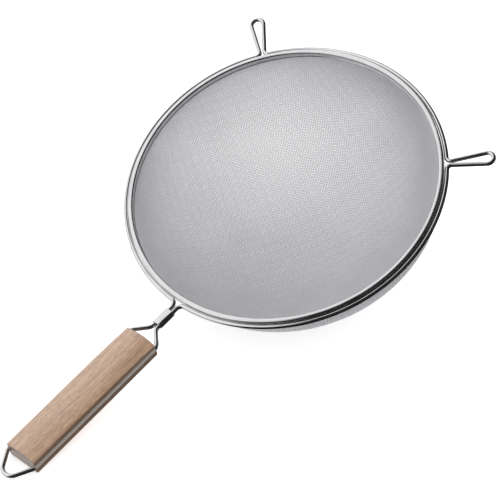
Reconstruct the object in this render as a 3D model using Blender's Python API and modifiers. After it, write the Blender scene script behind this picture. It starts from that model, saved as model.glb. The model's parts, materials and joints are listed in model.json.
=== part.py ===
"""Round double-mesh strainer with a grooved wooden handle, standing as it rests on a table.

All lengths are in metres. Every piece is drawn in the strainer's own frame: the top of the rim is
z = 0, the bowl hangs below it and the handle points towards -X. The handle's pieces are drawn in a
handle frame, with +X along the handle. An empty then tips the whole strainer until the bowl and the
butt of the handle both stand on the ground, z = 0.
"""

import math

import bmesh
import bpy
import numpy as np
from mathutils import Matrix, Vector

# Driving dimensions
GAP = 0.0003  # clearance kept between neighbouring solids
RIM_DIAMETER = 0.260  # over the frame wire
WIRE_RADIUS = 0.00175
SHEET = 0.0006  # thickness of the rim band's and the ferrule's sheet

# Rim: a band folded over the edges of both meshes, with the frame wire round it
HOOP_RADIUS = RIM_DIAMETER / 2 - WIRE_RADIUS
HOOP_Z = -0.0038
BEAD_RADIUS = 0.0020
BAND_OUTER_RADIUS = HOOP_RADIUS - WIRE_RADIUS - GAP
BEAD_CENTRE_RADIUS = BAND_OUTER_RADIUS - BEAD_RADIUS
OUTER_SKIRT_Z = -0.0070
INNER_SKIRT_Z = -0.0058
HEM_RADIUS = 0.0006
HEM_Z = -0.0050
HEM_SINK = 0.0002  # how far the hem's centre lies behind the band's inner face
HEM_SPAN = math.radians(55)  # half the hem's arc that stands out of the inner face
CORE_RADIUS = 0.0010

# Bowls: half ellipses turned about the strainer's axis. Each shell holds as much steel as its
# woven cloth, so it is thinner than the cloth, and the strainer balances as the real one does.
BOWL_DEPTH = 0.092
BOWL_SHOULDER_Z = -0.0060
MESH_TOP_Z = -0.0036
SUPPORT_MESH_THICKNESS = 0.00012
FINE_MESH_THICKNESS = 0.00010
MESH_SPACING = 0.0011  # between the outer faces of the two cloths

# Rest hooks on the far side of the rim
HOOK_ANGLE = math.radians(49)
HOOK_REACH = 0.1665  # rim centre to the outside of the hook's tip
HOOK_TIP_RADIUS = 0.0050
HOOK_BEND_RADIUS = 0.0035
LEG_HALF_SPACING = WIRE_RADIUS + 0.0002  # two legs of the wire side by side

# Neck and handle, as distances from the rim's centre along the handle
NECK_BEND_RADIUS = 0.0055
NECK_START = 0.1365  # from here on the handle rises from the plane of the rim
HANDLE_RISE = math.radians(6.5)
FERRULE_START = 0.1372
FERRULE_LENGTH = 0.0155
YOKE_START = FERRULE_START + FERRULE_LENGTH
YOKE_ANGLE = math.radians(46)
YOKE_LENGTH = 0.0190
HANDLE_FRONT = 0.1690
HANDLE_LENGTH = 0.1330
HANDLE_BUTT = HANDLE_FRONT + HANDLE_LENGTH
LOOP_LENGTH = 0.0173  # butt to the wire's centre line at the loop's tip
LOOP_TIP_RADIUS = 0.0080
LOOP_EXIT_RADIUS = 0.0040

# Wooden grip's section
GRIP_WIDTH = 0.0300
GRIP_TOP = 0.0072  # crown of the dome above the wire's centre line
GRIP_SHOULDER = 0.0032  # where the dome meets the sides
GRIP_BOTTOM = -0.0075
GRIP_CORNER_RADIUS = 0.0025
GRIP_END_BEVEL = 0.0010
GROOVE_Y = 0.0142  # the wire's centre line in the side grooves
CUTTER_OVERRUN = 0.0100  # the groove cutters run this far past the butt

# Fineness of the curved solids
TURN_STEPS = 60
BOWL_POINTS = 11
HOOP_STEP = math.radians(4)
BEND_STEP = math.radians(18)
BEAD_STEP = math.radians(20)
CHANNEL_STEP = math.radians(30)
FERRULE_STEP = math.radians(22.5)
DOME_STEPS = 8
CORE_RING_SIDES = 8
POSE_SEARCH_STEPS = 60


def clear_scene():
    for obj in list(bpy.data.objects):
        bpy.data.objects.remove(obj, do_unlink=True)


def new_collection(name):
    collection = bpy.data.collections.new(name)
    bpy.context.scene.collection.children.link(collection)
    return collection


def new_material(name, colour, metallic, roughness):
    material = bpy.data.materials.new(name)
    material.use_nodes = True
    shader = material.node_tree.nodes["Principled BSDF"]
    shader.inputs["Base Color"].default_value = (*colour, 1.0)
    shader.inputs["Metallic"].default_value = metallic
    shader.inputs["Roughness"].default_value = roughness
    return material


def new_empty(name, collection, matrix, parent=None):
    empty = bpy.data.objects.new(name, None)
    empty.empty_display_size = 0.02
    collection.objects.link(empty)
    empty.parent = parent
    empty.matrix_local = matrix
    return empty


def new_object(name, data, collection, material, parent):
    obj = bpy.data.objects.new(name, data)
    data.materials.append(material)
    collection.objects.link(obj)
    obj.parent = parent
    return obj


def shade_smooth(mesh, angle=math.radians(40)):
    mesh.shade_smooth()
    mesh.set_sharp_from_angle(angle=angle)


def arc(centre, radius, start, end, step=BEND_STEP):
    """Points along an arc from angle start to angle end, both included."""
    count = max(2, math.ceil(abs(end - start) / step) + 1)
    angles = np.linspace(start, end, count)
    return [(centre[0] + radius * math.cos(a), centre[1] + radius * math.sin(a)) for a in angles]


def rotated(points, angle):
    c, s = math.cos(angle), math.sin(angle)
    return [(x * c - y * s, x * s + y * c) for x, y in points]


def mirrored(points):
    """The points on the other side of the X axis, in the opposite order."""
    return [(x, -y) for x, y in reversed(points)]


def without_repeats(points, least=1e-5):
    kept = [points[0]]
    for point in points[1:]:
        if (Vector(point) - Vector(kept[-1])).length > least:
            kept.append(point)
    return kept


def tube(name, points, radius, closed, collection, material, parent=None):
    """A round wire through 3-D points."""
    curve = bpy.data.curves.new(name, "CURVE")
    curve.dimensions = "3D"
    spline = curve.splines.new("POLY")
    spline.points.add(len(points) - 1)
    for place, point in zip(spline.points, points):
        place.co = (*point, 1.0)
    spline.use_cyclic_u = closed
    spline.use_smooth = True
    curve.bevel_depth = radius
    curve.bevel_resolution = 2
    curve.use_fill_caps = not closed
    return new_object(name, curve, collection, material, parent)


def turned(name, profile, closed, collection, material, parent):
    """A body turned about Z from (radius, z) points that run down its outer side."""
    mesh = bpy.data.meshes.new(name)
    edges = [(i, i + 1) for i in range(len(profile) - 1)]
    if closed:
        edges.append((len(profile) - 1, 0))
    mesh.from_pydata([(r, 0.0, z) for r, z in profile], edges, [])
    obj = new_object(name, mesh, collection, material, parent)
    screw = obj.modifiers.new("turn", "SCREW")
    screw.steps = TURN_STEPS
    screw.render_steps = TURN_STEPS
    screw.use_merge_vertices = not closed
    screw.merge_threshold = 1e-5
    screw.use_smooth_shade = True
    return obj


def band_profile():
    """Section of the rim band: a bead with a skirt on each side, the inner one hemmed."""
    centre = (BEAD_CENTRE_RADIUS, -BEAD_RADIUS)
    inner_face = BEAD_CENTRE_RADIUS - BEAD_RADIUS
    hem = (inner_face + HEM_SINK, HEM_Z)
    outside = [(BAND_OUTER_RADIUS, OUTER_SKIRT_Z), (BAND_OUTER_RADIUS - SHEET, OUTER_SKIRT_Z)]
    channel = arc(centre, BEAD_RADIUS - SHEET, 0.0, math.pi, CHANNEL_STEP)
    inner_end = [(inner_face + SHEET, INNER_SKIRT_Z), (inner_face + SHEET / 2, INNER_SKIRT_Z)]
    hem_face = arc(hem, HEM_RADIUS, math.pi + HEM_SPAN, math.pi - HEM_SPAN, HEM_SPAN)
    bead = arc(centre, BEAD_RADIUS, math.pi, 0.0, BEAD_STEP)
    return outside + channel + inner_end + hem_face + bead


def bowl_surface(radius, bottom_z):
    """Half ellipse from the shoulder of a bowl down to its axis."""
    height = BOWL_SHOULDER_Z - bottom_z
    angles = np.linspace(0.0, math.pi / 2, BOWL_POINTS)
    curve = [(radius * math.cos(a), BOWL_SHOULDER_Z - height * math.sin(a)) for a in angles]
    curve[-1] = (0.0, bottom_z)
    return curve


def bowl_profile(outer_radius, thickness, bottom_z):
    outside = [(outer_radius, MESH_TOP_Z)] + bowl_surface(outer_radius, bottom_z)
    inner_radius = outer_radius - thickness
    inside = [(inner_radius, MESH_TOP_Z)] + bowl_surface(inner_radius, bottom_z + thickness)
    return list(reversed(inside)) + outside


def bend_out_of_hoop(half_spacing, radius, direction):
    """Bend that takes the wire from the hoop outwards, in a frame whose +X points outwards.

    It starts on the hoop and ends beside the X axis, heading along direction. The second value is
    the angle of its start, seen from the rim's centre.
    """
    side = half_spacing + radius
    centre = (math.sqrt((HOOP_RADIUS + radius) ** 2 - side**2), side)
    offset = math.atan2(side, centre[0])
    return arc(centre, radius, offset - math.pi, direction - math.pi / 2), offset


def hook_half():
    """From the hoop to the tip of a hook that points along +X, on its +Y side."""
    side = LEG_HALF_SPACING + HOOK_BEND_RADIUS
    bend_x = math.sqrt((HOOP_RADIUS + HOOK_BEND_RADIUS) ** 2 - side**2)
    tip = (HOOK_REACH - WIRE_RADIUS - HOOK_TIP_RADIUS, 0.0)
    across = (tip[0] - bend_x, -side)
    turn = math.asin((HOOK_BEND_RADIUS + HOOK_TIP_RADIUS) / math.hypot(*across))
    lean = math.atan2(across[1], across[0]) + turn
    bend, offset = bend_out_of_hoop(LEG_HALF_SPACING, HOOK_BEND_RADIUS, lean)
    return bend + arc(tip, HOOK_TIP_RADIUS, math.pi / 2 + lean, 0.0), offset


def yoke_and_loop():
    """The wire's +Y half in the handle frame, from the ferrule to the tip of the hang loop."""
    spread = GROOVE_Y - LEG_HALF_SPACING
    c, s = math.cos(YOKE_ANGLE), math.sin(YOKE_ANGLE)
    # Two equal bends with a straight between them: radius and straight from the two spans.
    system = [[2 * (1 - c), s], [2 * s, c]]
    radius, straight = np.linalg.solve(system, [spread, YOKE_LENGTH])
    start = YOKE_START - NECK_START
    end = start + YOKE_LENGTH
    out = arc((start, LEG_HALF_SPACING + radius), radius, -math.pi / 2, YOKE_ANGLE - math.pi / 2)
    back = arc((end, GROOVE_Y - radius), radius, math.pi / 2 + YOKE_ANGLE, math.pi / 2)
    butt = HANDLE_BUTT - NECK_START
    tip = (butt + LOOP_LENGTH - LOOP_TIP_RADIUS, 0.0)
    exit_centre = (butt, GROOVE_Y - LOOP_EXIT_RADIUS)
    across = (tip[0] - exit_centre[0], tip[1] - exit_centre[1])
    # Both bends turn the same way, so the straight leg is their outer tangent.
    shrink = math.asin((LOOP_TIP_RADIUS - LOOP_EXIT_RADIUS) / math.hypot(*across))
    lean = math.atan2(across[1], across[0]) + shrink
    leave = arc(exit_centre, LOOP_EXIT_RADIUS, math.pi / 2, math.pi / 2 + lean)
    loop = arc(tip, LOOP_TIP_RADIUS, math.pi / 2 + lean, 0.0)
    return out + back + leave + loop


def frame_wire_points(handle_frame):
    """One closed wire: round the rim with two hooks, down the handle and round the hang loop."""
    hook, hook_offset = hook_half()
    neck, neck_offset = bend_out_of_hoop(LEG_HALF_SPACING, NECK_BEND_RADIUS, 0.0)
    far_arc = arc((0, 0), HOOP_RADIUS, 0.0, HOOK_ANGLE - hook_offset, HOOP_STEP)
    near_arc = arc((0, 0), HOOP_RADIUS, HOOK_ANGLE + hook_offset, math.pi - neck_offset, HOOP_STEP)
    whole_hook = mirrored(list(reversed(hook))) + list(reversed(hook))
    to_neck = [(-x, y) for x, y in neck]
    rim_half = without_repeats(far_arc + rotated(whole_hook, HOOK_ANGLE) + near_arc + to_neck)
    handle_half = without_repeats([(0.0, LEG_HALF_SPACING)] + yoke_and_loop())
    rim = [Vector((x, y, HOOP_Z)) for x, y in rim_half]
    # The handle frame's +Y is the strainer's -Y.
    handle = [handle_frame @ Vector((x, -y, 0.0)) for x, y in handle_half]
    half = rim + handle
    other = [Vector((p.x, -p.y, p.z)) for p in reversed(half[1:-1])]
    return half + other


def grip_section():
    """The grip's outline across the handle as (y, z): a shallow dome on a flat-bottomed block."""
    half = GRIP_WIDTH / 2
    rise = GRIP_TOP - GRIP_SHOULDER
    radius = (half**2 + rise**2) / (2 * rise)
    sweep = math.asin(half / radius)
    dome_centre = (0.0, GRIP_TOP - radius)
    dome_step = 2 * sweep / DOME_STEPS
    dome = arc(dome_centre, radius, math.pi / 2 - sweep, math.pi / 2 + sweep, dome_step)
    corner = (half - GRIP_CORNER_RADIUS, GRIP_BOTTOM + GRIP_CORNER_RADIUS)
    right = arc(corner, GRIP_CORNER_RADIUS, -math.pi / 2, 0.0, CHANNEL_STEP)
    left = [(-y, z) for y, z in reversed(right)]
    return dome + left + right


def make_groove_cutters(guides, material, parent):
    """A cutter for each side groove: the wire's own run, made one gap thicker."""
    half = [(x, y) for x, y in yoke_and_loop() if HANDLE_BUTT - NECK_START > x]
    past_butt = (HANDLE_BUTT - NECK_START + CUTTER_OVERRUN, GROOVE_Y)
    runs = []
    for side in (1, -1):
        points = [(x, side * y, 0.0) for x, y in without_repeats(half + [past_butt])]
        name = f"groove_cutter_{'left' if side > 0 else 'right'}"
        runs.append(tube(name, points, WIRE_RADIUS + GAP, False, guides, material, parent))
    return [curve_as_mesh(run) for run in runs]


def curve_as_mesh(curve_object):
    """Replaces a curve object with a closed mesh object of the same name and place."""
    graph = bpy.context.evaluated_depsgraph_get()
    mesh = bpy.data.meshes.new_from_object(curve_object.evaluated_get(graph))
    shell = bmesh.new()
    shell.from_mesh(mesh)
    bmesh.ops.remove_doubles(shell, verts=shell.verts, dist=1e-6)
    bmesh.ops.recalc_face_normals(shell, faces=shell.faces)
    shell.to_mesh(mesh)
    shell.free()
    name, parent = curve_object.name, curve_object.parent
    collection = curve_object.users_collection[0]
    bpy.data.objects.remove(curve_object, do_unlink=True)
    obj = bpy.data.objects.new(name, mesh)
    collection.objects.link(obj)
    obj.parent = parent
    obj.hide_render = True
    obj.display_type = "WIRE"
    return obj


def make_wooden_handle(parts, guides, material, parent):
    """The grip: its section drawn out along the handle, its ends eased, its sides grooved."""
    front, butt = HANDLE_FRONT - NECK_START, HANDLE_BUTT - NECK_START
    block = bmesh.new()
    ring = [block.verts.new((front, y, z)) for y, z in grip_section()]
    face = block.faces.new(ring)
    drawn = bmesh.ops.extrude_face_region(block, geom=[face])
    far_end = [item for item in drawn["geom"] if isinstance(item, bmesh.types.BMVert)]
    bmesh.ops.translate(block, verts=far_end, vec=(butt - front, 0.0, 0.0))
    bmesh.ops.recalc_face_normals(block, faces=block.faces)
    mesh = bpy.data.meshes.new("wooden_handle")
    block.to_mesh(mesh)
    block.free()
    grip = new_object("wooden_handle", mesh, parts, material, parent)
    ease = grip.modifiers.new("eased_ends", "BEVEL")
    ease.width = GRIP_END_BEVEL
    ease.segments = 2
    ease.limit_method = "ANGLE"
    ease.angle_limit = math.radians(60)
    for cutter in make_groove_cutters(guides, material, parent):
        cut = grip.modifiers.new(cutter.name, "BOOLEAN")
        cut.operation = "DIFFERENCE"
        cut.object = cutter
    shade_smooth(mesh)
    return grip


def make_ferrule(parts, material, parent):
    """An oval sleeve pressed round the two legs of the wire, drawn along the handle."""
    curve = bpy.data.curves.new("neck_ferrule", "CURVE")
    curve.dimensions = "2D"
    curve.fill_mode = "BOTH"
    curve.extrude = FERRULE_LENGTH / 2
    inner = WIRE_RADIUS + GAP
    for radius in (inner + SHEET, inner):
        right = arc((LEG_HALF_SPACING, 0), radius, -math.pi / 2, math.pi / 2, FERRULE_STEP)
        left = [(-x, -y) for x, y in right]
        outline = right + left
        spline = curve.splines.new("POLY")
        spline.points.add(len(outline) - 1)
        for place, (x, y) in zip(spline.points, outline):
            place.co = (x, y, 0.0, 1.0)
        spline.use_cyclic_u = True
    ferrule = new_object("neck_ferrule", curve, parts, material, parent)
    ferrule.location = (FERRULE_START + FERRULE_LENGTH / 2 - NECK_START, 0.0, 0.0)
    ferrule.rotation_euler = (math.pi / 2, 0.0, math.pi / 2)
    return ferrule


def make_core_ring(parts, material, parent):
    """The wire ring inside the bead, which the edges of the meshes hang from."""
    bpy.ops.mesh.primitive_torus_add(
        major_radius=BEAD_CENTRE_RADIUS,
        minor_radius=CORE_RADIUS,
        major_segments=TURN_STEPS,
        minor_segments=CORE_RING_SIDES,
    )
    ring = bpy.context.object
    for collection in list(ring.users_collection):
        collection.objects.unlink(ring)
    parts.objects.link(ring)
    ring.name = "rim_core_ring"
    ring.data.name = "rim_core_ring"
    ring.data.materials.append(material)
    ring.parent = parent
    ring.location = (0.0, 0.0, -BEAD_RADIUS)
    ring.data.shade_smooth()
    return ring


def points_of(objects):
    """Every vertex of these objects as the modifiers leave them, in world space."""
    bpy.context.view_layer.update()
    graph = bpy.context.evaluated_depsgraph_get()
    found = []
    for obj in objects:
        evaluated = obj.evaluated_get(graph)
        mesh = evaluated.to_mesh()
        found += [tuple(evaluated.matrix_world @ vertex.co) for vertex in mesh.vertices]
        evaluated.to_mesh_clear()
    return np.array(found)


def stand_on_ground(pose, parts, bowl, grip):
    """Tips the strainer until bowl and grip are equally low, then sets it centred on z = 0."""
    bowl_points, grip_points = points_of([bowl]), points_of([grip])

    def lowest(points, tip):
        return (math.sin(tip) * points[:, 0] + math.cos(tip) * points[:, 2]).min()

    low, high = 0.0, math.radians(45)
    for _ in range(POSE_SEARCH_STEPS):
        tip = (low + high) / 2
        if lowest(bowl_points, tip) < lowest(grip_points, tip):
            low = tip
        else:
            high = tip
    pose.matrix_local = Matrix.Rotation(-tip, 4, "Y")
    corners = points_of(parts.objects[:])
    least, most = corners.min(axis=0), corners.max(axis=0)
    shift = Vector((-(least[0] + most[0]) / 2, -(least[1] + most[1]) / 2, -least[2]))
    pose.matrix_local = Matrix.Translation(shift) @ pose.matrix_local


def main():
    clear_scene()
    parts = new_collection("double_mesh_strainer")
    guides = new_collection("cutters")

    steel = new_material("polished_steel", (0.72, 0.72, 0.73), 1.0, 0.12)
    cloth = new_material("woven_steel", (0.55, 0.55, 0.57), 1.0, 0.40)
    wood = new_material("oiled_wood", (0.56, 0.38, 0.25), 0.0, 0.55)

    pose = new_empty("strainer_frame", guides, Matrix.Identity(4))
    rise = Matrix.Rotation(HANDLE_RISE, 4, "Y") @ Matrix.Rotation(math.pi, 4, "Z")
    handle_matrix = Matrix.Translation((-NECK_START, 0.0, HOOP_Z)) @ rise
    handle_frame = new_empty("handle_frame", guides, handle_matrix, pose)

    tube("frame_wire", frame_wire_points(handle_matrix), WIRE_RADIUS, True, parts, steel, pose)
    turned("rim_band", band_profile(), True, parts, steel, pose)
    make_core_ring(parts, steel, pose)

    support_radius = BAND_OUTER_RADIUS - SHEET - GAP
    fine_radius = support_radius - MESH_SPACING
    fine_bottom = MESH_SPACING - BOWL_DEPTH
    support_profile = bowl_profile(support_radius, SUPPORT_MESH_THICKNESS, -BOWL_DEPTH)
    fine_profile = bowl_profile(fine_radius, FINE_MESH_THICKNESS, fine_bottom)
    bowl = turned("outer_support_mesh", support_profile, False, parts, cloth, pose)
    turned("inner_fine_mesh", fine_profile, False, parts, cloth, pose)

    make_ferrule(parts, steel, handle_frame)
    grip = make_wooden_handle(parts, guides, wood, handle_frame)
    stand_on_ground(pose, parts, bowl, grip)


main()
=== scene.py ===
"""Looks of the double-mesh strainer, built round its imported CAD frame.

Lengths are in metres. Each piece is worked out in the strainer's own frame (the rim's axis is Z, the top
of the rim is at z = 0 and the handle is towards -X) or in the handle's frame (+X towards the butt, with
x = 0 at NECK_START and z = 0 on the wire's centre line), and then put in place. Both frames are read from
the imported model. The strainer is one body, and every piece rides on it.
"""

import json
import math

import bpy
import numpy as np
from mathutils import Matrix, Vector


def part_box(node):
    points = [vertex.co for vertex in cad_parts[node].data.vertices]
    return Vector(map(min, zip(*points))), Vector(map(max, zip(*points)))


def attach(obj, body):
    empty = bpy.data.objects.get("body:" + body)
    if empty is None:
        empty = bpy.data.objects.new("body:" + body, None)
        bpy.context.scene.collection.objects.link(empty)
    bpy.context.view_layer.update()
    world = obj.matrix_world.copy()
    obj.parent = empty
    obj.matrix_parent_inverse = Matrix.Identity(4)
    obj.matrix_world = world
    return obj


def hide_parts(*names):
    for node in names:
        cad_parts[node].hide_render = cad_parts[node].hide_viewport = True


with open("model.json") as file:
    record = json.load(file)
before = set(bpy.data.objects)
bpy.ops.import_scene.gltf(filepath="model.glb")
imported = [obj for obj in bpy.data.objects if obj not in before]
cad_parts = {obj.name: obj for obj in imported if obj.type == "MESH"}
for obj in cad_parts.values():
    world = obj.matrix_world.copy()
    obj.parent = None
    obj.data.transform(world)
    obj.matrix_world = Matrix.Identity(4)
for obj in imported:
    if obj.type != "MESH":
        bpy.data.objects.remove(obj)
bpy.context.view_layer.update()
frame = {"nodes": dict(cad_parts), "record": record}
BODY = "root"

# Rim and frame wire
WIRE_RADIUS = 0.00175
WIRE_SIDES = 20
GAP = 0.0003
SHEET = 0.0006
RIM_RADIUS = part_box("frame_wire")[1].y
HOOP_RADIUS = RIM_RADIUS - WIRE_RADIUS
HOOP_Z = -0.0038
HOOP_STEP = math.radians(0.6)
BAND_STEPS = 600
BEAD_RADIUS = 0.0020
BAND_OUTER_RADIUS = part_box("rim_band")[1].y
BEAD_CENTRE_RADIUS = BAND_OUTER_RADIUS - BEAD_RADIUS
BAND_TOP_Z = -0.0003
ROLL_RADIUS = 0.0011
CROWN_RADIUS = 0.020
CROWN_DROP = 0.00004
OUTER_SKIRT_Z = -0.0070
INNER_SKIRT_Z = -0.0058
HEM_RADIUS = 0.0006
HEM_Z = -0.0050
HEM_START = math.radians(245)
HEM_END = math.radians(115)
HEM_STEP = math.radians(13)
EDGE_STEP = math.radians(30)
FERRULE_STEP = math.radians(10)

# Woven bowls, each piece of which has at most MOST_TRIANGLES
BOWL_DEPTH = 0.0946
BOWL_SHOULDER_Z = -0.0060
MESH_TOP_Z = -0.0036
SUPPORT_OUTER_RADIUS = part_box("outer_support_mesh")[1].y
SUPPORT_WIRE_RADIUS = 0.00026
SUPPORT_PITCH = 0.0020
SUPPORT_TURN = math.radians(20)
FINE_WIRE_RADIUS = 0.00020
FINE_PITCH = 0.0010
FINE_TURN = math.radians(45)
BOWL_FLARE = math.radians(5)
BOWL_LEAN = (0.0050, -0.0020)
MERIDIAN_STEPS = 400
SLOPE_STEP = 0.0001
CLOTH_WIRE_SIDES = 4
MOST_TRIANGLES = 190_000

# Rest hooks
HOOK_ANGLE = math.radians(49)
HOOK_REACH = 0.1665
HOOK_TIP_RADIUS = 0.0050
HOOK_BEND_RADIUS = 0.0035
LEG_HALF_GAP = 0.0002
LEG_HALF_SPACING = WIRE_RADIUS + LEG_HALF_GAP

# Neck, ferrule, yoke and handle. The places where each starts or ends are distances from the rim's centre
# along the handle.
NECK_BEND_RADIUS = 0.0055
NECK_START = 0.1365
FERRULE_START = 0.1372
FERRULE_LENGTH = 0.0155
YOKE_START = FERRULE_START + FERRULE_LENGTH
YOKE_ANGLE = math.radians(46)
YOKE_LENGTH = 0.0190
HANDLE_FRONT = 0.1690
HANDLE_LENGTH = 0.1330
HANDLE_BUTT = HANDLE_FRONT + HANDLE_LENGTH
LOOP_LENGTH = 0.0173
LOOP_TIP_RADIUS = 0.0080
LOOP_EXIT_RADIUS = 0.0040

# Wooden grip. A section's groove is wider by GROOVE_FLARE of the section's inset, and the radius of its
# inner corners is GROOVE_ROUNDNESS of half its height.
GRIP_WIDTH = 0.0300
GRIP_TOP = 0.0072
GRIP_SHOULDER = 0.0060
GRIP_CORNER = 0.0011
GRIP_LIP = 0.0006
GRIP_FRONT_DROP = 0.0022
FRONT_DROP_REACH = 0.020
GRIP_BOTTOM = -0.0075
GRIP_END_ROUND = 0.0011
GRIP_END_STEPS = 6
GRIP_STATIONS = 60
CROWN_POINTS = 9
GROOVE_Y = 0.0142
GROOVE_FLARE = 0.25
GROOVE_ROUNDNESS = 0.98
ROUNDING = 1e-6

# Materials. The end and side depths below are pairs of depths under the grip's ends and sides. Between each
# pair, painted shade darkens the wood more and more outwards, standing in for shade on its edges.
DULL_STEEL = (0.62, 0.58, 0.53, 1.0)
DULL_FADE = 0.002
DARK_RING = (0.33, 0.170, 0.083)
MIDDLE_RING = (0.48, 0.280, 0.155)
PALE_RING = (0.58, 0.365, 0.215)
FIBRE = (0.30, 0.160, 0.080, 1.0)
PORE = (0.15, 0.075, 0.042, 1.0)
GRAIN_WARP = 0.010
# Painted shade: the dark wood colour and its strength, painted on the grip's sides and ends where shade
# falls.
SHADED_WOOD_COLOUR = (0.085, 0.042, 0.024, 1.0)
PAINTED_SHADE_STRENGTH = 0.75
END_SHADE_DEPTHS = (0.0012, 0.0002)
SIDE_SHADE_DEPTHS = (0.0010, 0.0001)

# Camera
CAMERA_AZIMUTH = math.radians(-137.19)
CAMERA_ELEVATION = math.radians(42.753)
CAMERA_ROLL = math.radians(0.28)
CAMERA_TARGET = Vector((0.03316, -0.01859, 0.07573))
CAMERA_DISTANCE = 2.1753
CAMERA_LENS = 203.54
CAMERA_SENSOR = 36.0

# Studio. What is polished mirrors a wall-like softbox on the +Y side, turned a little towards -X, and a
# floor that is lit on the +Y side. FOOT and HEAD are ranges of a direction's height, and SIDE is a range
# of how much of its level part points to that side. Light comes up across each, or goes down at HEAD.
# What is matt is lit from all around, and most from the key's direction.
SOFTBOX_FOOT = (-0.05, 0.05)
SOFTBOX_HEAD = (0.885, 0.915)
SOFTBOX_SIDE = (0.30, 0.55)
SOFTBOX_TURN = 0.4
SOFTBOX_LEVEL = 1.25
FLOOR_SIDE = (0.0, 0.35)
FLOOR_SHINE = 0.70
DARK_LEVEL = 0.018
KEY_DIRECTION = Vector((-0.10, 0.35, 0.93)).normalized()
KEY_LEVEL = 1.85
FILL_LEVEL = 0.93
FLOOR_GLOW = 0.44
FLOOR_SIZE = 8
FLOOR_GAP = 0.0002


def record_mount(name):
    return next(mount for mount in frame["record"]["mounts"] if mount["name"] == name)


def frame_matrix(x_axis, z_axis, origin):
    y_axis = z_axis.cross(x_axis)
    return Matrix.Translation(origin) @ Matrix((x_axis, y_axis, z_axis)).transposed().to_4x4()


def read_strainer_frame():
    """The rim's frame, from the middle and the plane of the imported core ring, with the handle at -X."""
    vertices = frame["nodes"]["rim_core_ring"].data.vertices
    points = np.array([vertex.co for vertex in vertices])
    middle = (points.max(axis=0) + points.min(axis=0)) / 2
    normal = Vector(np.linalg.svd(points - points.mean(axis=0), full_matrices=False)[2][2])
    normal *= math.copysign(1, normal.z)
    far_side = Vector((0, 1, 0)).cross(normal)
    return frame_matrix(far_side, normal, Vector(middle) + normal * BEAD_RADIUS)


def read_handle_frame():
    """The handle's frame, from the record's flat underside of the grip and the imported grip's butt."""
    underside = record_mount("handle_underside")
    up = -Vector(underside["axis"]).normalized()
    along = Vector((0, -1, 0)).cross(up)
    butt = max(vertex.co @ along for vertex in frame["nodes"]["wooden_handle"].data.vertices)
    height = Vector(underside["pos_m"]) @ up - GRIP_BOTTOM
    return frame_matrix(along, up, along * (butt - (HANDLE_BUTT - NECK_START)) + up * height)


STRAINER = read_strainer_frame()
HANDLE = read_handle_frame()
HANDLE_IN_STRAINER = STRAINER.inverted() @ HANDLE


# ---------------------------------------------------------------- plane curves


def arc(centre, radius, start, end, step=math.radians(4)):
    """Points along an arc from angle start to angle end, both included."""
    count = max(2, math.ceil(abs(end - start) / step) + 1)
    angles = np.linspace(start, end, count)
    return [(centre[0] + radius * math.cos(a), centre[1] + radius * math.sin(a)) for a in angles]


def rotated(points, angle):
    c, s = math.cos(angle), math.sin(angle)
    return [(x * c - y * s, x * s + y * c) for x, y in points]


def without_repeats(points, least=1e-5):
    kept = [points[0]]
    for point in points[1:]:
        if math.dist(point, kept[-1]) > least:
            kept.append(point)
    return kept


def rounded_outline(corners, steps=5):
    """An open outline through corners (x, y, radius), each turned on an arc of its radius."""
    points = []
    for before, corner, after in zip(corners, corners[1:], corners[2:]):
        here = Vector(corner[:2])
        back = (Vector(before[:2]) - here).normalized()
        ahead = (Vector(after[:2]) - here).normalized()
        opening = back.angle(ahead)
        reach = corner[2] / math.tan(opening / 2)
        centre = here + (back + ahead).normalized() * corner[2] / math.sin(opening / 2)
        first, last = here + back * reach - centre, here + ahead * reach - centre
        turn = first.angle_signed(last)
        for share in np.linspace(0, 1, steps + 1):
            points.append(tuple(centre + Matrix.Rotation(-turn * share, 2) @ first))
    return [tuple(corners[0][:2])] + points + [tuple(corners[-1][:2])]


# ---------------------------------------------------------------- mesh building


def grid_faces(rows, columns, closed_rows):
    """The quads between neighbouring rings, as point numbers and as (row, column) on an unrolled grid."""
    row_count = rows if closed_rows else rows - 1
    row, column = np.meshgrid(np.arange(row_count), np.arange(columns), indexing="ij")
    corner_rows = np.stack([row, row, row + 1, row + 1], -1)
    corner_columns = np.stack([column, column + 1, column + 1, column], -1)
    quads = corner_rows % rows * columns + corner_columns % columns
    unrolled = np.stack([corner_rows, corner_columns], -1)
    return quads.reshape(-1, 4), unrolled.reshape(-1, 4, 2)


def mesh_from_arrays(name, points, quads, caps=()):
    mesh = bpy.data.meshes.new(name)
    faces = list(map(tuple, quads.tolist())) + [tuple(cap) for cap in caps]
    mesh.from_pydata(points.tolist(), [], faces)
    mesh.validate()
    return mesh


def distances(points):
    """Distances along a closed line at each of its points, and at its first point again."""
    steps = np.linalg.norm(np.diff(points, axis=0, append=points[:1]), axis=1)
    return np.concatenate([[0.0], np.cumsum(steps)])


def mesh_from_rings(name, rings, closed_rows):
    """A surface through rings of points, with a UV map in metres along and round it.

    The last ring is joined to the first, or else both are capped.
    """
    rows, columns = rings.shape[:2]
    quads, unrolled = grid_faces(rows, columns, closed_rows)
    caps = []
    if not closed_rows:
        caps = [list(range(columns))[::-1], [(rows - 1) * columns + i for i in range(columns)]]
    mesh = mesh_from_arrays(name, rings.reshape(-1, 3), quads, caps)
    along = distances(rings.mean(axis=1) if closed_rows else rings[:, 0])
    around = distances(rings[0])
    layer = mesh.uv_layers.new(name="length")
    uv = np.zeros((len(mesh.loops), 2), np.float32)
    corner_count = len(quads) * 4
    uv[:corner_count, 0] = along[unrolled[..., 0].reshape(-1)]
    uv[:corner_count, 1] = around[unrolled[..., 1].reshape(-1)]
    layer.data.foreach_set("uv", uv.ravel())
    return mesh


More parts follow.
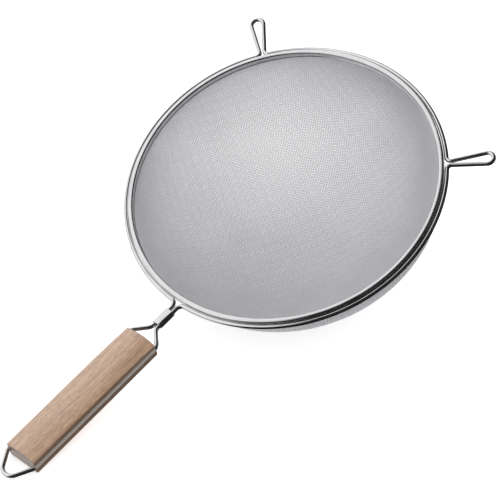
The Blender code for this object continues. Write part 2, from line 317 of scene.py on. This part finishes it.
def add_piece(name, mesh, material, nodes, matrix=STRAINER, sharp=math.radians(38)):
    """Makes a piece in place, which rides on the body and stands for CAD nodes.

    The points before they are put in place are kept as the attribute "place", for the materials.
    """
    place = mesh.attributes.new("place", "FLOAT_VECTOR", "POINT")
    co = np.empty(len(mesh.vertices) * 3, np.float32)
    mesh.vertices.foreach_get("co", co)
    place.data.foreach_set("vector", co)
    mesh.transform(matrix)
    mesh.materials.append(material)
    mesh.shade_smooth()
    mesh.set_sharp_from_angle(angle=sharp)
    piece = bpy.data.objects.new(name, mesh)
    bpy.context.scene.collection.objects.link(piece)
    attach(piece, BODY)
    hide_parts(*nodes)


def turned(name, profile, steps):
    """A closed (radius, z) profile turned about Z."""
    angles = np.linspace(0, 2 * math.pi, steps, endpoint=False)
    radius, z = np.array(profile).T
    x = radius[None, :] * np.cos(angles)[:, None]
    y = radius[None, :] * np.sin(angles)[:, None]
    rings = np.stack([x, y, np.broadcast_to(z, x.shape)], -1)
    return mesh_from_rings(name, rings, closed_rows=True)


# ---------------------------------------------------------------- frame wire


def bend_out_of_hoop(half_spacing, radius, direction):
    """Bend that takes the wire from the hoop outwards, in a frame whose +X points outwards.

    It starts on the hoop and ends beside the X axis, heading along direction. The second value is
    the angle of its start, seen from the rim's centre.
    """
    side = half_spacing + radius
    centre = (math.sqrt((HOOP_RADIUS + radius) ** 2 - side**2), side)
    offset = math.atan2(side, centre[0])
    return arc(centre, radius, offset - math.pi, direction - math.pi / 2), offset


def hook_half():
    """From the hoop to the tip of a hook that points along +X, on its +Y side.

    The second value is the angle of its start, seen from the rim's centre.
    """
    side = LEG_HALF_SPACING + HOOK_BEND_RADIUS
    bend_x = math.sqrt((HOOP_RADIUS + HOOK_BEND_RADIUS) ** 2 - side**2)
    tip = (HOOK_REACH - WIRE_RADIUS - HOOK_TIP_RADIUS, 0.0)
    across = (tip[0] - bend_x, -side)
    turn = math.asin((HOOK_BEND_RADIUS + HOOK_TIP_RADIUS) / math.hypot(*across))
    lean = math.atan2(across[1], across[0]) + turn
    bend, offset = bend_out_of_hoop(LEG_HALF_SPACING, HOOK_BEND_RADIUS, lean)
    return bend + arc(tip, HOOK_TIP_RADIUS, math.pi / 2 + lean, 0.0), offset


def yoke_and_loop():
    """The wire's +Y half in the handle frame, from the ferrule to the tip of the hang loop."""
    spread = GROOVE_Y - LEG_HALF_SPACING
    c, s = math.cos(YOKE_ANGLE), math.sin(YOKE_ANGLE)
    # Two equal bends with a straight between them: radius and straight from the two spans.
    radius, straight = np.linalg.solve([[2 * (1 - c), s], [2 * s, c]], [spread, YOKE_LENGTH])
    start = YOKE_START - NECK_START
    end = start + YOKE_LENGTH
    out = arc((start, LEG_HALF_SPACING + radius), radius, -math.pi / 2, YOKE_ANGLE - math.pi / 2)
    back = arc((end, GROOVE_Y - radius), radius, math.pi / 2 + YOKE_ANGLE, math.pi / 2)
    butt = HANDLE_BUTT - NECK_START
    tip = (butt + LOOP_LENGTH - LOOP_TIP_RADIUS, 0.0)
    exit_centre = (butt, GROOVE_Y - LOOP_EXIT_RADIUS)
    across = (tip[0] - exit_centre[0], tip[1] - exit_centre[1])
    # Both bends turn the same way, so the straight leg is their outer tangent.
    shrink = math.asin((LOOP_TIP_RADIUS - LOOP_EXIT_RADIUS) / math.hypot(*across))
    lean = math.atan2(across[1], across[0]) + shrink
    leave = arc(exit_centre, LOOP_EXIT_RADIUS, math.pi / 2, math.pi / 2 + lean)
    loop = arc(tip, LOOP_TIP_RADIUS, math.pi / 2 + lean, 0.0)
    return out + back + leave + loop


def frame_wire_points():
    """The closed wire's centre line: round the rim with two hooks, down the handle and round the loop."""
    hook, hook_offset = hook_half()
    neck, neck_offset = bend_out_of_hoop(LEG_HALF_SPACING, NECK_BEND_RADIUS, 0.0)
    far_arc = arc((0, 0), HOOP_RADIUS, 0.0, HOOK_ANGLE - hook_offset, HOOP_STEP)
    near_end = math.pi - neck_offset
    near_arc = arc((0, 0), HOOP_RADIUS, HOOK_ANGLE + hook_offset, near_end, HOOP_STEP)
    whole_hook = [(x, -y) for x, y in hook] + hook[::-1]
    to_neck = [(-x, y) for x, y in neck]
    rim_half = without_repeats(far_arc + rotated(whole_hook, HOOK_ANGLE) + near_arc + to_neck)
    handle_half = without_repeats([(0.0, LEG_HALF_SPACING)] + yoke_and_loop())
    rim = [Vector((x, y, HOOP_Z)) for x, y in rim_half]
    handle = [HANDLE_IN_STRAINER @ Vector((x, -y, 0.0)) for x, y in handle_half]
    half = rim + handle
    other = [Vector((p.x, -p.y, p.z)) for p in reversed(half[1:-1])]
    return np.array(half + other)


def unit(vectors):
    return vectors / np.linalg.norm(vectors, axis=1, keepdims=True)


def rings_round(points, side, up, radius, angles):
    """A ring of points round each point of a line, at angles from its side vector towards its up vector."""
    ring = np.cos(angles)[None, :, None] * side[:, None, :]
    ring = ring + np.sin(angles)[None, :, None] * up[:, None, :]
    return points[:, None, :] + radius * ring


def make_frame_wire(material):
    points = frame_wire_points()
    tangents = unit(np.roll(points, -1, axis=0) - np.roll(points, 1, axis=0))
    side = unit(np.cross([0.0, 0.0, 1.0], tangents))
    angles = np.linspace(0, 2 * math.pi, WIRE_SIDES, endpoint=False)
    rings = rings_round(points, side, np.cross(tangents, side), WIRE_RADIUS, angles)
    mesh = mesh_from_rings("frame_wire_smooth", rings, closed_rows=True)
    add_piece("frame_wire_smooth", mesh, material, ["frame_wire"])


# ---------------------------------------------------------------- rim band and ferrule


def band_profile():
    """Section of the rim band: a nearly flat rolled top with a skirt on each side, the inner one hemmed."""
    outer, inner = BAND_OUTER_RADIUS, BAND_OUTER_RADIUS - 2 * BEAD_RADIUS
    hem = (inner + HEM_RADIUS / 3, HEM_Z)
    edge = SHEET / 2
    lip = arc((outer - edge, OUTER_SKIRT_Z + edge), edge, 0, -math.pi, EDGE_STEP)
    channel = [
        (outer - SHEET, OUTER_SKIRT_Z + edge, 0),
        (outer - SHEET, BAND_TOP_Z - SHEET, ROLL_RADIUS - SHEET),
        (inner + SHEET, BAND_TOP_Z - SHEET, ROLL_RADIUS - SHEET),
        (inner + SHEET, INNER_SKIRT_Z, 0),
    ]
    hem_face = arc(hem, HEM_RADIUS, HEM_START, HEM_END, HEM_STEP)
    top = [
        (inner, HEM_Z + HEM_RADIUS, 0),
        (inner, BAND_TOP_Z - CROWN_DROP, ROLL_RADIUS),
        (BEAD_CENTRE_RADIUS, BAND_TOP_Z, CROWN_RADIUS),
        (outer, BAND_TOP_Z - CROWN_DROP, ROLL_RADIUS),
        (outer, OUTER_SKIRT_Z + SHEET, 0),
    ]
    under = rounded_outline(channel)[1:] + [(inner + edge, INNER_SKIRT_Z)]
    return lip[:-1] + under + hem_face + rounded_outline(top, steps=8)


def make_rim_band(material):
    mesh = turned("rim_band_polished", band_profile(), BAND_STEPS)
    add_piece("rim_band_polished", mesh, material, ["rim_band"])


def make_ferrule(material):
    """An oval sleeve with rolled ends, pressed round the two legs of the wire."""
    inner = WIRE_RADIUS + GAP / 2
    outer = WIRE_RADIUS + GAP + SHEET
    start = FERRULE_START - NECK_START
    end = start + FERRULE_LENGTH
    edge = (outer - inner) / 2
    middle = inner + edge
    profile = arc((start + edge, middle), edge, -math.pi / 2, -3 * math.pi / 2, EDGE_STEP)
    profile += arc((end - edge, middle), edge, math.pi / 2, -math.pi / 2, EDGE_STEP)
    rings = []
    for x, reach in profile:
        right = arc((LEG_HALF_SPACING, 0.0), reach, -math.pi / 2, math.pi / 2, FERRULE_STEP)
        outline = right + [(-y, -z) for y, z in right]
        rings.append([(x, y, z) for y, z in reversed(outline)])
    name = "neck_ferrule_pressed"
    mesh = mesh_from_rings(name, np.array(rings), closed_rows=True)
    add_piece(name, mesh, material, ["neck_ferrule"], HANDLE)


# ---------------------------------------------------------------- woven bowls


def bowl_meridian(radius, bottom_z):
    """Radius and height of a bowl's surface as functions of the distance from its bottom.

    It is the lower part of an ellipsoid, cut a little below its widest place, with a short collar.
    """
    angles = np.linspace(math.pi / 2, BOWL_FLARE, MERIDIAN_STEPS)
    fall = (np.sin(angles) - math.sin(BOWL_FLARE)) / (1 - math.sin(BOWL_FLARE))
    r = np.append(radius * np.cos(angles) / math.cos(BOWL_FLARE), radius)
    z = np.append(BOWL_SHOULDER_Z - (BOWL_SHOULDER_Z - bottom_z) * fall, MESH_TOP_Z)
    distance = np.concatenate([[0], np.cumsum(np.hypot(np.diff(r), np.diff(z)))])
    return distance, r, z


def on_bowl(meridian, u, v, turn):
    """Points and outward normals where flat cloth coordinates u, v come to lie on the bowl.

    The cloth lies turned about the bowl's axis, and the bowl leans slightly to one side.
    """
    distance, r, z = meridian
    run = np.hypot(u, v)
    azimuth = np.arctan2(v, u) + turn
    here_r, here_z = np.interp(run, distance, r), np.interp(run, distance, z)
    low, high = np.maximum(run - SLOPE_STEP, 0), np.minimum(run + SLOPE_STEP, distance[-1])
    slope_r = np.interp(high, distance, r) - np.interp(low, distance, r)
    slope_z = np.interp(high, distance, z) - np.interp(low, distance, z)
    length = np.hypot(slope_r, slope_z)
    out, down = slope_z / length, -slope_r / length
    c, s = np.cos(azimuth), np.sin(azimuth)
    lean = (MESH_TOP_Z - here_z) / BOWL_DEPTH
    x, y = here_r * c + BOWL_LEAN[0] * lean, here_r * s + BOWL_LEAN[1] * lean
    points = np.stack([x, y, here_z], -1)
    normals = np.stack([out * c, out * s, down], -1)
    return points, normals


def woven_wires(meridian, pitch, wire_radius, turn, along_u):
    """Tubes of one set of parallel wires of a plain weave, as a list of (points, quads).

    The wires run along u, or else along v. Neighbours rise and dip in turn, once for each wire crossed.
    """
    reach = meridian[0][-1]
    lines = int(reach / pitch)
    wires = []
    angles = (np.arange(CLOTH_WIRE_SIDES) + 0.5) * 2 * math.pi / CLOTH_WIRE_SIDES
    for line in range(-lines, lines + 1):
        across = line * pitch
        half_length = math.sqrt(max(reach**2 - across**2, 0))
        count = int(half_length / pitch)
        inner = np.arange(-count, count + 1) * pitch
        gap = half_length - count * pitch
        # A wire runs on to the cloth's edge, unless that is under a quarter of a pitch further.
        along = inner if gap < pitch / 4 else np.concatenate([[-half_length], inner, [half_length]])
        if len(along) < 3:
            continue
        sign = 1 if (line % 2 == 0) == along_u else -1
        lift = sign * wire_radius * np.cos(math.pi * along / pitch)
        offset = np.full_like(along, across)
        u, v = (along, offset) if along_u else (offset, along)
        points, normals = on_bowl(meridian, u, v, turn)
        points = points + normals * lift[:, None]
        tangents = unit(np.gradient(points, axis=0))
        side = unit(np.cross(tangents, normals))
        rings = rings_round(points, side, np.cross(side, tangents), wire_radius, angles)
        quads, _ = grid_faces(len(along), CLOTH_WIRE_SIDES, closed_rows=False)
        wires.append((rings.reshape(-1, 3), quads))
    return wires


def make_cloth(name, meridian, pitch, wire_radius, turn, material, node):
    """Both sets of wires of one woven bowl, each in pieces of about the same size."""
    for label, along_u in (("warp", True), ("weft", False)):
        wires = woven_wires(meridian, pitch, wire_radius, turn, along_u)
        triangles = sum(len(quads) * 2 for _, quads in wires)
        share = triangles / math.ceil(triangles / MOST_TRIANGLES)
        part, done, number = [], 0, 1
        for wire in wires:
            part.append(wire)
            done += len(wire[1]) * 2
            if done >= share * number - 1 or wire is wires[-1]:
                add_wires(f"{name}_{label}_{number}", part, material, node)
                part = []
                number += 1


def add_wires(name, wires, material, node):
    """One mesh of several wires, with an end cap on both ends of each."""
    points, quads, caps = [], [], []
    base = 0
    for rings, faces in wires:
        last = base + len(rings) - CLOTH_WIRE_SIDES
        points.append(rings)
        quads.append(faces + base)
        caps.append([base + i for i in reversed(range(CLOTH_WIRE_SIDES))])
        caps.append([last + i for i in range(CLOTH_WIRE_SIDES)])
        base += len(rings)
    mesh = mesh_from_arrays(name, np.concatenate(points), np.concatenate(quads), caps)
    add_piece(name, mesh, material, [node], sharp=math.pi)


def make_bowls(material):
    """The support cloth and the fine cloth on its inside. A cloth is four wire radii thick."""
    support_middle = 2 * SUPPORT_WIRE_RADIUS
    fine_middle = 2 * support_middle + 2 * FINE_WIRE_RADIUS
    support = bowl_meridian(SUPPORT_OUTER_RADIUS - support_middle, support_middle - BOWL_DEPTH)
    fine = bowl_meridian(SUPPORT_OUTER_RADIUS - fine_middle, fine_middle - BOWL_DEPTH)
    make_cloth(
        "support_cloth",
        support,
        SUPPORT_PITCH,
        SUPPORT_WIRE_RADIUS,
        SUPPORT_TURN,
        material,
        "outer_support_mesh",
    )
    make_cloth(
        "fine_cloth",
        fine,
        FINE_PITCH,
        FINE_WIRE_RADIUS,
        FINE_TURN,
        material,
        "inner_fine_mesh",
    )


# ---------------------------------------------------------------- wooden grip


def grip_outline(groove_y, inset, drop):
    """Half of the grip's section from crown to underside, with its groove, as (y, z) points.

    The crown is a shallow dome, whose shoulder can drop further towards an end of the grip.
    """
    half = GRIP_WIDTH / 2 - inset
    top, shoulder = GRIP_TOP - inset, GRIP_SHOULDER - inset - drop
    crown = [
        (y, top - (top - shoulder) * (y / half) ** 2)
        for y in np.linspace(0, half - 2 * GRIP_CORNER, CROWN_POINTS)
    ]
    groove = WIRE_RADIUS + GAP + inset * GROOVE_FLARE
    floor_y = groove_y - groove
    bottom = GRIP_BOTTOM + inset
    side = [
        (*crown[-1], 0),
        (half, shoulder, GRIP_CORNER),
        (half, groove, GRIP_LIP),
        (floor_y, groove, groove * GROOVE_ROUNDNESS),
        (floor_y, -groove, groove * GROOVE_ROUNDNESS),
        (half, -groove, GRIP_LIP),
        (half, bottom, GRIP_CORNER),
        (0.0, bottom, 0),
    ]
    return crown[:-1] + rounded_outline(side)


def grip_stations():
    """Distances along the grip with the section's inset and its shoulder's drop there."""
    front, butt = HANDLE_FRONT - NECK_START, HANDLE_BUTT - NECK_START
    angles = np.linspace(0, math.pi / 2, GRIP_END_STEPS)
    eased = [(GRIP_END_ROUND * (1 - math.cos(a)), GRIP_END_ROUND * (1 - math.sin(a))) for a in angles]
    start = [(front + x, inset) for x, inset in eased]
    straight = np.linspace(front + GRIP_END_ROUND, butt - GRIP_END_ROUND, GRIP_STATIONS)[1:-1]
    middle = [(x, 0.0) for x in straight]
    end = [(butt - x, inset) for x, inset in reversed(eased)]
    stations = []
    for x, inset in start + middle + end:
        drop = GRIP_FRONT_DROP * math.exp((front - x) / FRONT_DROP_REACH)
        stations.append((x, inset, drop))
    return stations


def make_grip(material):
    path = np.array(without_repeats(yoke_and_loop()))
    before_butt = path[path[:, 0] <= HANDLE_BUTT - NECK_START + ROUNDING]
    rings = []
    for x, inset, drop in grip_stations():
        groove_y = np.interp(x, before_butt[:, 0], before_butt[:, 1])
        half = grip_outline(groove_y, inset, drop)
        outline = half + [(-y, z) for y, z in reversed(half[1:-1])]
        rings.append([(x, y, z) for y, z in reversed(outline)])
    mesh = mesh_from_rings("wooden_grip", np.array(rings), closed_rows=False)
    add_piece("wooden_grip", mesh, material, ["wooden_handle"], HANDLE)


# ---------------------------------------------------------------- materials


class Nodes:
    """Short names for making and linking the nodes of one tree."""

    def __init__(self, tree):
        self.tree = tree

    def add(self, kind, inputs=None, **settings):
        node = self.tree.nodes.new(kind)
        for key, value in settings.items():
            setattr(node, key, value)
        for key, value in (inputs or {}).items():
            self.feed(node.inputs[key], value)
        return node

    def feed(self, socket, value):
        if isinstance(value, bpy.types.NodeSocket):
            self.tree.links.new(value, socket)
        else:
            socket.default_value = value

    def calculate(self, operation, *values):
        return self.add("ShaderNodeMath", dict(enumerate(values)), operation=operation).outputs["Value"]

    def spread(self, value, low, high, from_low=0.3, from_high=0.7, **settings):
        """Low to high, as the value crosses its own range, by default that of a noise."""
        inputs = {
            "Value": value,
            "From Min": from_low,
            "From Max": from_high,
            "To Min": low,
            "To Max": high,
        }
        return self.add("ShaderNodeMapRange", inputs, **settings).outputs["Result"]

    def fade(self, value, span, low, high):
        """Low to high, as the value crosses the span, with soft ends."""
        return self.spread(value, low, high, *span, interpolation_type="SMOOTHSTEP")

    def away(self, value, middle):
        """How far a value is from middle."""
        return self.calculate("ABSOLUTE", self.calculate("SUBTRACT", value, middle))

    def split(self, vector):
        return self.add("ShaderNodeSeparateXYZ", {"Vector": vector}).outputs

    def noise(self, vector, scale, detail, roughness=0.5):
        inputs = {"Vector": vector, "Scale": scale, "Detail": detail, "Roughness": roughness}
        return self.add("ShaderNodeTexNoise", inputs).outputs["Fac"]

    def scaled(self, vector, scale, rotation=(0, 0, 0)):
        inputs = {"Vector": vector, "Scale": scale, "Rotation": rotation}
        return self.add("ShaderNodeMapping", inputs).outputs["Vector"]

    def ramp(self, fac, stops):
        node = self.add("ShaderNodeValToRGB", {"Fac": fac})
        elements = node.color_ramp.elements
        while len(elements) < len(stops):
            elements.new(0.5)
        for element, (position, colour) in zip(elements, stops):
            element.position = position
            element.color = (*colour, 1.0)
        return node.outputs["Color"]

    def bump(self, height, distance, strength, before=None):
        inputs = {"Height": height, "Distance": distance, "Strength": strength}
        if before is not None:
            inputs["Normal"] = before
        return self.add("ShaderNodeBump", inputs).outputs["Normal"]

    def mix(self, fac, first, second):
        node = self.add("ShaderNodeMix", data_type="RGBA")
        self.feed(node.inputs["Factor"], fac)
        self.feed(node.inputs["A"], first)
        self.feed(node.inputs["B"], second)
        return node.outputs["Result"]


class MaterialNodes(Nodes):
    """The nodes of a new material with one Principled shader."""

    def __init__(self, name):
        self.material = bpy.data.materials.new(name)
        self.material.use_nodes = True
        super().__init__(self.material.node_tree)
        self.shader = self.tree.nodes["Principled BSDF"]

    def place(self):
        """Where a point is in the frame that its piece was worked out in."""
        return self.add("ShaderNodeAttribute", attribute_name="place").outputs["Vector"]

    def finish(self, **sockets):
        for key, value in sockets.items():
            self.feed(self.shader.inputs[key.replace("_", " ")], value)
        return self.material


def polished_steel():
    """Drawn and polished steel: fine streaks along its length, faint smudges and hairline scratches.

    The wire is dulled where it lies in the grip's grooves.
    """
    n = MaterialNodes("polished_steel_look")
    length = n.add("ShaderNodeUVMap", uv_map="length").outputs["UV"]
    streaks = n.noise(n.scaled(length, (60, 5000, 1)), 1.0, 3.0, 0.6)
    smudges = n.noise(n.place(), 55, 3.0)
    hairlines = n.noise(n.scaled(length, (400, 2600, 1), (0, 0, 0.5)), 1.0, 2.0)
    colour = n.ramp(smudges, [(0.3, (0.70, 0.705, 0.715)), (0.7, (0.80, 0.80, 0.80))])
    roughness = n.spread(n.mix(0.5, n.mix(0.5, streaks, hairlines), smudges), 0.07, 0.17)
    along = n.split(n.place())["X"]
    past_front = n.spread(along, 1.0, 0.0, -HANDLE_FRONT - DULL_FADE, -HANDLE_FRONT)
    before_butt = n.spread(along, 0.0, 1.0, -HANDLE_BUTT, -HANDLE_BUTT + DULL_FADE)
    dulled = n.mix(past_front, (0.0, 0.0, 0.0, 1.0), before_butt)
    colour = n.mix(dulled, colour, DULL_STEEL)
    metallic = n.spread(dulled, 1.0, 0.60, 0.0, 1.0)
    roughness = n.spread(dulled, roughness, 0.42, 0.0, 1.0)
    normal = n.bump(streaks, 0.000002, 0.05)
    return n.finish(Base_Color=colour, Metallic=metallic, Roughness=roughness, Normal=normal)


def woven_steel():
    """Wire drawn for weaving: duller than the polished rim, with small changes from wire to wire."""
    n = MaterialNodes("woven_steel_look")
    place = n.place()
    broad = n.noise(place, 30, 3.0)
    fine = n.noise(place, 900, 2.0)
    shade = n.mix(0.5, broad, fine)
    colour = n.ramp(shade, [(0.3, (0.67, 0.665, 0.69)), (0.7, (0.77, 0.765, 0.79))])
    roughness = n.spread(fine, 0.30, 0.45)
    normal = n.bump(fine, 0.00002, 0.3)
    return n.finish(Base_Color=colour, Metallic=0.35, Roughness=roughness, Normal=normal)


def rolled_core():
    """Unpolished round bar, as the hidden core of the rim."""
    n = MaterialNodes("rolled_core_look")
    object_space = n.add("ShaderNodeTexCoord").outputs["Object"]
    scale = n.noise(object_space, 160, 4.0)
    colour = n.ramp(scale, [(0.3, (0.42, 0.42, 0.43)), (0.7, (0.60, 0.60, 0.61))])
    roughness = n.spread(scale, 0.3, 0.5)
    normal = n.bump(scale, 0.00004, 0.4)
    return n.finish(Base_Color=colour, Metallic=1.0, Roughness=roughness, Normal=normal)


def oiled_wood():
    """Close-grained hardwood with its grain along the handle and short dark pores.

    Its sides and ends are darker than its top and underside, as painted shade where shade falls on its
    edges.
    """
    n = MaterialNodes("oiled_wood_look")
    place = n.place()
    warp = n.noise(n.scaled(place, (14, 60, 60)), 1.0, 3.0)
    shift = n.add("ShaderNodeCombineXYZ", {"Y": warp, "Z": warp}).outputs["Vector"]
    inputs = {0: shift, 1: (0, GRAIN_WARP, GRAIN_WARP), 2: place}
    bent = n.add("ShaderNodeVectorMath", inputs, operation="MULTIPLY_ADD").outputs["Vector"]
    rings = n.noise(n.scaled(bent, (13, 520, 420)), 1.0, 6.0, 0.68)
    fibres = n.noise(n.scaled(bent, (90, 1500, 1500)), 1.0, 3.0, 0.6)
    pores = n.noise(n.scaled(bent, (190, 1900, 1900)), 1.0, 1.0)
    tone = n.ramp(rings, [(0.34, DARK_RING), (0.50, MIDDLE_RING), (0.62, PALE_RING)])
    tone = n.mix(n.spread(fibres, 0.0, 0.55), tone, FIBRE)
    pore_mask = n.ramp(pores, [(0.57, (0, 0, 0)), (0.66, (1, 1, 1))])
    tone = n.mix(n.spread(pore_mask, 0.0, 0.7, 0.0, 1.0), tone, PORE)
    x, y, _ = n.split(place)
    # Painted shade: the colour darkens towards the grip's ends and sides, where shade falls.
    off_middle = n.away(x, (HANDLE_FRONT + HANDLE_BUTT) / 2 - NECK_START)
    ends = n.spread(off_middle, 0.0, PAINTED_SHADE_STRENGTH, *[HANDLE_LENGTH / 2 - inset for inset in END_SHADE_DEPTHS])
    sides = n.spread(n.away(y, 0.0), 0.0, PAINTED_SHADE_STRENGTH, *[GRIP_WIDTH / 2 - inset for inset in SIDE_SHADE_DEPTHS])
    tone = n.mix(n.calculate("MAXIMUM", ends, sides), tone, SHADED_WOOD_COLOUR)
    roughness = n.spread(fibres, 0.42, 0.62)
    normal = n.bump(fibres, 0.00010, 0.5)
    normal = n.bump(pore_mask, -0.00015, 0.5, normal)
    return n.finish(
        Base_Color=tone,
        Roughness=roughness,
        Normal=normal,
        Coat_Weight=1.0,
        Coat_IOR=2.2,
        Coat_Roughness=0.28,
    )


# ---------------------------------------------------------------- stage


def make_floor():
    """A pale floor with a glow of its own. Steel mirrors the world's lit floor in place of it."""
    bpy.ops.mesh.primitive_plane_add(size=FLOOR_SIZE, location=(0, 0, -FLOOR_GAP))
    floor = bpy.context.object
    floor.name = "floor"
    floor.visible_glossy = False
    material = bpy.data.materials.new("pale_floor")
    material.use_nodes = True
    shader = material.node_tree.nodes["Principled BSDF"]
    shader.inputs["Base Color"].default_value = (0.9, 0.9, 0.9, 1)
    shader.inputs["Roughness"].default_value = 0.9
    shader.inputs["Emission Color"].default_value = (1, 1, 1, 1)
    shader.inputs["Emission Strength"].default_value = FLOOR_GLOW
    floor.data.materials.append(material)


def softbox_level(n, direction):
    """What polished steel mirrors: the softbox and the lit floor, both on the +Y side of a dark studio."""
    x, y, z = n.split(direction)
    squares = [n.calculate("MULTIPLY", value, value) for value in (x, y)]
    level_run = n.calculate("SQRT", n.calculate("ADD", *squares))
    across = n.calculate("SUBTRACT", y, n.calculate("MULTIPLY", x, SOFTBOX_TURN))
    above_foot = n.fade(z, SOFTBOX_FOOT, 0.0, 1.0)
    below_head = n.fade(z, SOFTBOX_HEAD, 1.0, 0.0)
    box_side = n.fade(n.calculate("DIVIDE", across, level_run), SOFTBOX_SIDE, 0.0, 1.0)
    box = n.calculate("MULTIPLY", n.calculate("MULTIPLY", above_foot, below_head), box_side)
    below_foot = n.fade(z, SOFTBOX_FOOT, FLOOR_SHINE, 0.0)
    floor_side = n.fade(n.calculate("DIVIDE", y, level_run), FLOOR_SIDE, 0.0, 1.0)
    lit_floor = n.calculate("MULTIPLY", below_foot, floor_side)
    return n.calculate("MULTIPLY_ADD", n.calculate("ADD", box, lit_floor), SOFTBOX_LEVEL, DARK_LEVEL)


def key_level(n, direction):
    """What lights everything matt: even light, and more of it the nearer a direction is to the key's."""
    facing = n.add("ShaderNodeVectorMath", {0: direction, 1: KEY_DIRECTION}, operation="DOT_PRODUCT")
    return n.fade(facing.outputs["Value"], (0.0, 1.0), FILL_LEVEL, KEY_LEVEL)


def make_world():
    """The studio: one light for reflections, one for everything matt, and white behind the floor."""
    world = bpy.data.worlds.new("studio")
    bpy.context.scene.world = world
    world.use_nodes = True
    world.node_tree.nodes.clear()
    n = Nodes(world.node_tree)
    direction = n.add("ShaderNodeTexCoord").outputs["Generated"]
    glossy = n.add("ShaderNodeBackground", {"Strength": softbox_level(n, direction)})
    diffuse = n.add("ShaderNodeBackground", {"Strength": key_level(n, direction)})
    white = n.add("ShaderNodeBackground", {"Color": (1, 1, 1, 1)})
    ray = n.add("ShaderNodeLightPath").outputs
    inputs = {"Fac": ray["Is Glossy Ray"], 1: diffuse.outputs[0], 2: glossy.outputs[0]}
    lit = n.add("ShaderNodeMixShader", inputs)
    inputs = {"Fac": ray["Is Camera Ray"], 1: lit.outputs[0], 2: white.outputs[0]}
    seen = n.add("ShaderNodeMixShader", inputs)
    n.add("ShaderNodeOutputWorld", {"Surface": seen.outputs[0]})


def make_camera():
    camera = bpy.data.cameras.new("camera")
    camera.lens = CAMERA_LENS
    camera.sensor_width = CAMERA_SENSOR
    back = Vector((math.cos(CAMERA_AZIMUTH), math.sin(CAMERA_AZIMUTH), math.tan(CAMERA_ELEVATION)))
    back.normalize()
    turn = back.to_track_quat("Z", "Y").to_matrix() @ Matrix.Rotation(CAMERA_ROLL, 3, "Z")
    view = bpy.data.objects.new("camera", camera)
    view.matrix_world = Matrix.Translation(CAMERA_TARGET + back * CAMERA_DISTANCE) @ turn.to_4x4()
    bpy.context.scene.collection.objects.link(view)
    bpy.context.scene.camera = view


def main():
    bpy.context.scene.view_settings.view_transform = "Standard"
    polished, woven, wood = polished_steel(), woven_steel(), oiled_wood()
    make_frame_wire(polished)
    make_rim_band(polished)
    make_ferrule(polished)
    make_bowls(woven)
    make_grip(wood)
    core = frame["nodes"]["rim_core_ring"]
    core.data.materials.clear()
    core.data.materials.append(rolled_core())
    make_floor()
    make_world()
    make_camera()


main()
